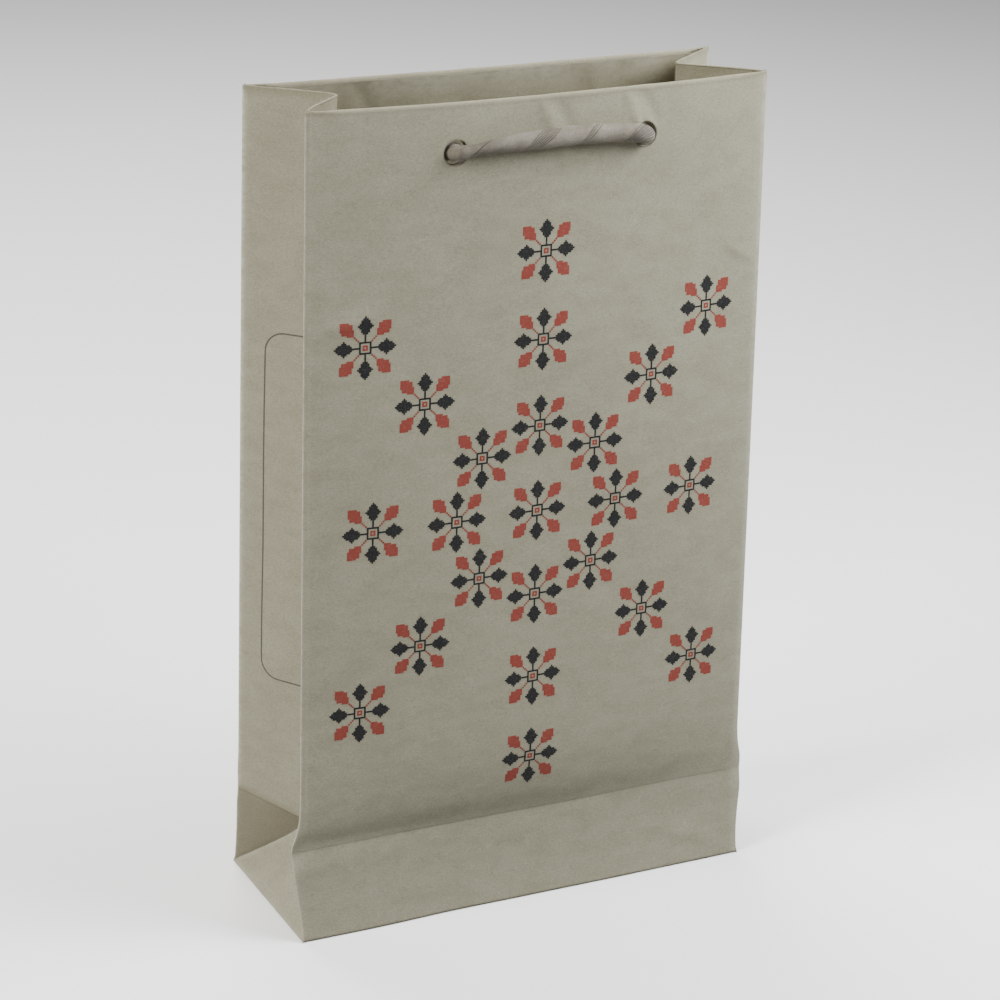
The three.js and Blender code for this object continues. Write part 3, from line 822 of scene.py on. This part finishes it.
def twisted_tube(name, route, first, second, lengths, radii, material, sides=96):
    """A closed tube of twisted paper: creases wind round it, and its section isn't quite round."""
    angle = np.linspace(0, 2 * math.pi, sides, endpoint=False)
    drift = (0.3 * np.sin(lengths / (5.3 * mm)) + 0.2 * np.sin(lengths / (2.1 * mm)))[:, None]
    lay = angle[None, :] + cord_twist * lengths[:, None] + drift - 3.1
    section = 1 + 0.045 * np.cos(2 * lay + 0.6) + 0.02 * np.cos(3 * lay + 2 * drift)
    section = section + 0.005 * np.sin(23 * lay + 5 * drift) + 0.005 * np.sin(37 * lay - 9 * drift)
    shade = 0.12 + 0.16 * np.sin(31 * lay + 4 * drift) * np.sin(9 * lay - 7 * drift)
    # Painted shade in each pleat's groove, over a mottled tone.
    for place, depth, centre, reach in cord_pleats:
        away = (lay - place + math.pi) % (2 * math.pi) - math.pi
        strength = np.clip(1.4 * (1 - ((lengths / mm - centre) / reach) ** 2), 0, 1)[:, None]
        dip = np.exp(-(away / 0.07) ** 2) * strength
        section = section - depth * dip - 0.3 * depth * np.exp(-(away / 0.30) ** 2) * strength
        shade = np.maximum(shade, dip * min(1, 0.4 + 12 * depth))
    # Painted shade: darker where the cord is thinner.
    shade = np.clip(shade + 1.1 * (1 - radii / radii.max())[:, None], 0, 1)
    radius = radii[:, None] * section
    rings = (route[:, None] + first[:, None] * (radius * np.cos(angle))[..., None]
             + second[:, None] * (radius * np.sin(angle))[..., None])
    count = len(route)
    faces = []
    for r in range(count - 1):
        low, high = r * sides, (r + 1) * sides
        faces += [(low + c, low + (c + 1) % sides, high + (c + 1) % sides, high + c) for c in range(sides)]
    faces.append(tuple(range(sides - 1, -1, -1)))
    faces.append(tuple((count - 1) * sides + c for c in range(sides)))
    return make_object(name, rings.reshape(-1, 3), faces, material, {"crease": shade.ravel()}, sharp=60)


bend = 2.9 * mm

for face, label in ((-1, "front"), (1, "back")):
    leg_top = hole_z - bend
    hole_face = float(wall_reach(face, hole_x, hole_z))
    lying = {x: float(wall_reach(face, x, hole_z)) + cord_radius * 0.80
             for x in (-15 * mm, -8 * mm, 0, 8 * mm, 15 * mm)}
    half_route = [
        (hole_x, leg_reach, leg_low.z),
        (hole_x, leg_reach, leg_low.z + 18 * mm),
        (hole_x, leg_reach, leg_top - 4 * mm),
        (hole_x, leg_reach + 0.3 * bend, hole_z - 0.9 * mm),
        (hole_x, leg_reach + 1.2 * bend, hole_z),
        (hole_x, hole_face - 0.8 * mm, hole_z),
    ]
    left = [(-x, face * y, z) for x, y, z in half_route]
    right = [(x, face * y, z) for x, y, z in reversed(half_route)]
    outside = [(-hole_x + 0.5 * mm, face * (hole_face + 1.0 * mm), hole_z + 0.1 * mm),
               (-hole_x + 2.4 * mm, face * (hole_face + 1.5 * mm), hole_z + 0.4 * mm)]
    outside += [(x, face * lying[x], hole_z + rise * mm)
                for x, rise in ((-15 * mm, 1.2), (-8 * mm, 1.6), (0, 1.8), (8 * mm, 1.8), (15 * mm, 1.5))]
    outside += [(hole_x - 2.4 * mm, face * (hole_face + 1.75 * mm), hole_z + 0.8 * mm),
                (hole_x - 0.5 * mm, face * (hole_face + 1.0 * mm), hole_z + 0.2 * mm)]
    route, lengths = smooth_route(left + outside + right, 0.22 * mm)
    first, second = carried_frames(route)
    reach = face * route[:, 1]
    lengths = lengths - lengths[np.argmax(reach > hole_face)]
    x_share = np.clip((route[:, 0] + hole_x) / (2 * hole_x), 0, 1)
    outer = np.nonzero(reach > hole_face + 0.3 * mm)[0]
    out_of_hole = smooth((reach - hole_face) / (1.6 * mm) + 0.5)
    narrow = np.exp(-((x_share - 0.11) / 0.15) ** 2) * out_of_hole
    radii = 0.88 * cord_radius * (1.0 - 0.36 * narrow)
    stub_length = 0.7 * mm
    stub_steps = int(stub_length / (lengths[1] - lengths[0])) + 1
    leg_end = {"left": int(np.argmax(route[:, 2] > leg_top - 3 * mm)),
               "right": len(route) - 1 - int(np.argmax(route[::-1, 2] > leg_top - 3 * mm))}
    spans = {
        "cord_leg_left": (0, leg_end["left"]),
        "cord_bend_left": (leg_end["left"], outer[0]),
        "cord_stub_left": (outer[0], outer[0] + stub_steps),
        "handle_grip": (outer[0] + stub_steps, outer[-1] - stub_steps),
        "cord_stub_right": (outer[-1] - stub_steps, outer[-1]),
        "cord_bend_right": (outer[-1], leg_end["right"]),
        "cord_leg_right": (leg_end["right"], len(route) - 1),
    }
    for part, (a, b) in spans.items():
        rows = np.arange(a, b + 1)
        if "stub" in part:
            even = np.linspace(0, 1, 60)
            shares = 0.5 - np.sin(np.arcsin(1 - 2 * even) / 3)
            positions = a + shares * (b - a)
        else:
            positions = rows.astype(float)
        pick = [np.stack([np.interp(positions, np.arange(len(route)), block[:, k]) for k in range(3)], -1)
                for block in (route, first, second)]
        numbers = [np.interp(positions, np.arange(len(route)), block) for block in (lengths, radii)]
        piece = twisted_tube(f"{label}_{part}", *pick, numbers[0], numbers[1], cord_paper,
                             sides=64 if "leg" in part else 132)
        if part == "handle_grip":
            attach(piece, f"{label}_handle")
            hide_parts(f"{label}_handle_cord")
        elif "stub" in part:
            inner_end, outer_end = (a, b) if part.endswith("left") else (b, a)
            ends = racked(route[[inner_end, outer_end]])
            tuple(ends[0])
            tuple(ends[1])
            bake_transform(piece)
        else:
            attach(piece, f"{label}_wall")
        if "leg" in part:
            top = route[leg_end[part.split("_")[-1]]]
            tuple(top)
            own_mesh(piece)
            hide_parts(f"{label}_{part}")


# ---- Knots ---------------------------------------------------------------------------------------
# Each end of a cord is tied in an overhand knot, pulled tight: the cord passes round itself one and a
# half times, and the cut end hangs out below with its strands a little open.
def knot_mesh(name, low, high, face):
    middle = (low + high) / 2
    height = high.z - low.z
    tail = 7 * mm
    wrap_low, wrap_high = low.z + tail, high.z
    wrap_middle = (wrap_low + wrap_high) / 2
    wrap_reach = (high.x - low.x) / 2
    strand = wrap_reach * 0.37
    ring = wrap_reach - strand
    parts = []
    turns = np.linspace(0, 1, 130)
    spin = turns * 2 * math.pi * 1.75 + 0.6
    rise = (turns - 0.5) * (wrap_high - wrap_low - 2.1 * strand)
    tilt = 0.7 * mm * np.sin(spin)
    ease = np.clip(np.minimum(turns, 1 - turns) / 0.10, 0.25, 1)
    wrap = np.stack([middle.x + ring * ease * np.cos(spin), middle.y + ring * ease * np.sin(spin),
                     wrap_middle + rise + tilt * ease], -1)
    parts.append((wrap, np.full(len(wrap), strand), 28))
    core_z = np.linspace(high.z, low.z + 0.2 * mm, 80)
    lean = 0.5 * mm * np.sin((core_z - low.z) / height * math.pi)
    core = np.stack([middle.x + lean, middle.y + 0 * core_z, core_z], -1)
    flare = cord_radius * (0.80 + 0.18 * np.clip((wrap_low - core_z) / tail, 0, 1))
    parts.append((core, flare, 48))
    for k, (route, radii, sides) in enumerate(parts):
        first, second = carried_frames(route)
        lengths = np.concatenate([[0], np.cumsum(np.linalg.norm(np.diff(route, axis=0), axis=1))])
        yield twisted_tube(f"{name}_{'wrap' if k == 0 else 'core'}", route, first, second, lengths, radii,
                           cord_paper, sides=sides)


for label in ("front", "back"):
    for side_label in ("left", "right"):
        node = f"{label}_knot_{side_label}"
        for piece in knot_mesh(node, *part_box(node), -1 if label == "front" else 1):
            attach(piece, node)
            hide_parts(node)


# ---- Printed rosettes ----------------------------------------------------------------------------
# A plain decoration printed in red and black as squares, like counted stitches: rosettes of eight
# lozenges, one in the middle of the wall and the rest at equal steps on eight arms.
def ink_material(name, ink, paper_colour):
    """Flat ink that sinks into the paper, so that some fibres still show through it."""
    material = bpy.data.materials.new(name)
    material.use_nodes = True
    tree = material.node_tree
    surface = tree.nodes["Principled BSDF"]
    surface.inputs["Roughness"].default_value = 0.85
    surface.inputs["Specular IOR Level"].default_value = 0.2
    place = tree.nodes.new("ShaderNodeTexCoord")
    gaps = new_node(tree, "ShaderNodeTexNoise", Scale=2600.0, Detail=4.0, Roughness=0.65)
    tree.links.new(place.outputs["Object"], gaps.inputs["Vector"])
    cover = tree.nodes.new("ShaderNodeMapRange")
    for socket, number in (("From Min", 0.50), ("From Max", 0.80), ("To Min", 0.0), ("To Max", 0.55)):
        cover.inputs[socket].default_value = number
    tree.links.new(gaps.outputs["Fac"], cover.inputs["Value"])
    mix = tree.nodes.new("ShaderNodeMix")
    mix.data_type = "RGBA"
    mix.inputs[6].default_value = (*ink, 1)
    mix.inputs[7].default_value = (*paper_colour, 1)
    tree.links.new(cover.outputs["Result"], mix.inputs[0])
    tree.links.new(mix.outputs[2], surface.inputs["Base Color"])
    bump = new_node(tree, "ShaderNodeBump", Strength=0.4, Distance=0.04 * mm)
    tree.links.new(gaps.outputs["Fac"], bump.inputs["Height"])
    tree.links.new(bump.outputs["Normal"], surface.inputs["Normal"])
    return material


red_ink = ink_material("red_ink", (0.205, 0.040, 0.030), (0.26, 0.14, 0.10))
black_ink = ink_material("black_ink", (0.010, 0.010, 0.011), (0.09, 0.085, 0.07))

stitch = 0.40 * mm
spacing = 19.7 * mm
print_middle = (-0.7 * mm, 95.1 * mm)
ink_height = 0.035 * mm


def lozenge_on_stalk(along, off, stalk_from, middle, half_length, half_width):
    """Whether a square is part of a plain lozenge or of the thin stalk that leads out to it."""
    in_lozenge = abs(along - middle) / half_length + abs(off) / half_width < 1
    return in_lozenge or (stalk_from < along < middle and abs(off) < 0.6)


def black_stitch(x, y):
    """Four plain lozenges, up, down, left and right, and a square link in the middle."""
    along, off = max(abs(x), abs(y)), min(abs(x), abs(y))
    return along == 3 or lozenge_on_stalk(along, off, 3, 12, 5.6, 4.6)


def red_stitch(x, y):
    """Four plain lozenges on the diagonals and a small square in the middle."""
    along, off = (abs(x) + abs(y)) / math.sqrt(2), (abs(x) - abs(y)) / math.sqrt(2)
    return max(abs(x), abs(y)) == 1 or lozenge_on_stalk(along, off, 5, 15, 6.2, 4.4)


def rosette_cells(pick, reach=18):
    return [(i, j) for i in range(-reach, reach + 1) for j in range(-reach, reach + 1) if pick(i, j)]


def rosette_places():
    """Equal steps outwards on eight arms, with one step less on the level arms."""
    yield 0, 0
    for k in (1, 2, 3):
        for across in (-1, 1):
            for up in (-1, 1):
                yield across * k * math.sqrt(0.5), up * k * math.sqrt(0.5)
            yield 0, across * k
            if k < 3:
                yield across * k, 0


def print_layer(name, face, pick, material):
    index, faces, flat = {}, [], []

    def corner(rosette, i, j, x, z):
        key = (rosette, i, j)
        if key not in index:
            index[key] = len(flat)
            flat.append((x + (i - 0.5) * stitch, z + (j - 0.5) * stitch))
        return index[key]

    for rosette, (across, up) in enumerate(rosette_places()):
        x, z = print_middle[0] + across * spacing, print_middle[1] + up * spacing
        for i, j in rosette_cells(pick):
            faces.append((corner(rosette, i, j, x, z), corner(rosette, i + 1, j, x, z),
                          corner(rosette, i + 1, j + 1, x, z), corner(rosette, i, j + 1, x, z)))
    flat = np.array(flat)
    u, v = flat[:, 0], flat[:, 1]
    small = 0.2 * mm
    normal = np.cross(wall_point(face, u + small, v) - wall_point(face, u - small, v),
                      wall_point(face, u, v + small) - wall_point(face, u, v - small))
    normal *= np.sign(normal[:, 1] * face)[:, None] / np.linalg.norm(normal, axis=1)[:, None]
    points = wall_point(face, u, v) + normal * ink_height
    return sheet_solid(name, points, faces, 1.6 * ink_height, material, (0, face, 0))


for face, label in ((-1, "front"), (1, "back")):
    for pick, colour, ink in ((black_stitch, "black", black_ink), (red_stitch, "red", red_ink)):
        printed = print_layer(f"{label}_print_{colour}", face, pick, ink)
        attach(printed, f"{label}_wall")


# ---- Outline on the left side -------------------------------------------------------------------
# A thin grey line in the shape of a rounded label is printed on the left side, across its centre crease,
# and folds in with it. Nothing is printed inside it.
def on_half_side(side, face, out, height):
    """Points on a folded-in half, from their distance out from the centre crease and their height."""
    net, _, t = half_side_net(side, face, drop=rim_fold["ends"], over=False)
    rows, count = net.shape[:2]
    normals = point_normals(net.reshape(-1, 3), net_faces(rows, count)).reshape(net.shape)
    normals *= np.sign((normals * np.array([side, -0.3 * face, 0])).sum())
    steps = np.linalg.norm(np.diff(net[:, ::-1], axis=1), axis=2)
    from_crease = np.concatenate([np.zeros((rows, 1)), np.cumsum(steps, axis=1)], axis=1)
    found = []
    for distance, level in zip(out, height):
        per_row = []
        for r in range(rows):
            per_row.append([np.interp(distance, from_crease[r], block[r, ::-1, k])
                            for block in (net, normals) for k in range(3)])
        per_row = np.array(per_row)
        found.append([np.interp(level, per_row[:, 2], per_row[:, k]) for k in range(6)])
    found = np.array(found)
    return found[:, :3] + found[:, 3:] * ink_height


label_reach, label_low, label_high, label_round = 13.5 * mm, 51.6 * mm, 134 * mm, 4.5 * mm
line_half = 0.17 * mm
grey_line = ink_material("grey_line", (0.085, 0.078, 0.062), (0.19, 0.18, 0.14))
for face, label in ((-1, "front"), (1, "back")):
    edges = []
    for grow in (line_half, -line_half):
        bend_at = label_round + grow
        turn = np.linspace(0, math.pi / 2, 12)
        middle_out = label_reach - label_round
        outs = np.concatenate([np.linspace(0, middle_out, 8)[:-1], middle_out + bend_at * np.sin(turn)])
        corner_drop = label_round - bend_at * np.cos(turn)
        lows = np.concatenate([np.full(7, label_low - grow), label_low + corner_drop])
        highs = np.concatenate([np.full(7, label_high + grow), label_high - corner_drop])
        rise = np.linspace(label_low + label_round, label_high - label_round, 40)[1:-1]
        edges.append((np.concatenate([outs, np.full(38, label_reach + grow), outs[::-1]]),
                      np.concatenate([lows, rise, highs[::-1]])))
    points = np.concatenate([on_half_side(-1, face, out, height) for out, height in edges])
    count = len(points) // 2
    faces = [(k, k + 1, count + k + 1, count + k) for k in range(count - 1)]
    outline = sheet_solid(f"left_gusset_{label}_outline", points, faces, 1.6 * ink_height, grey_line,
                          (-1, -0.3 * face, 0))
    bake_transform(outline)
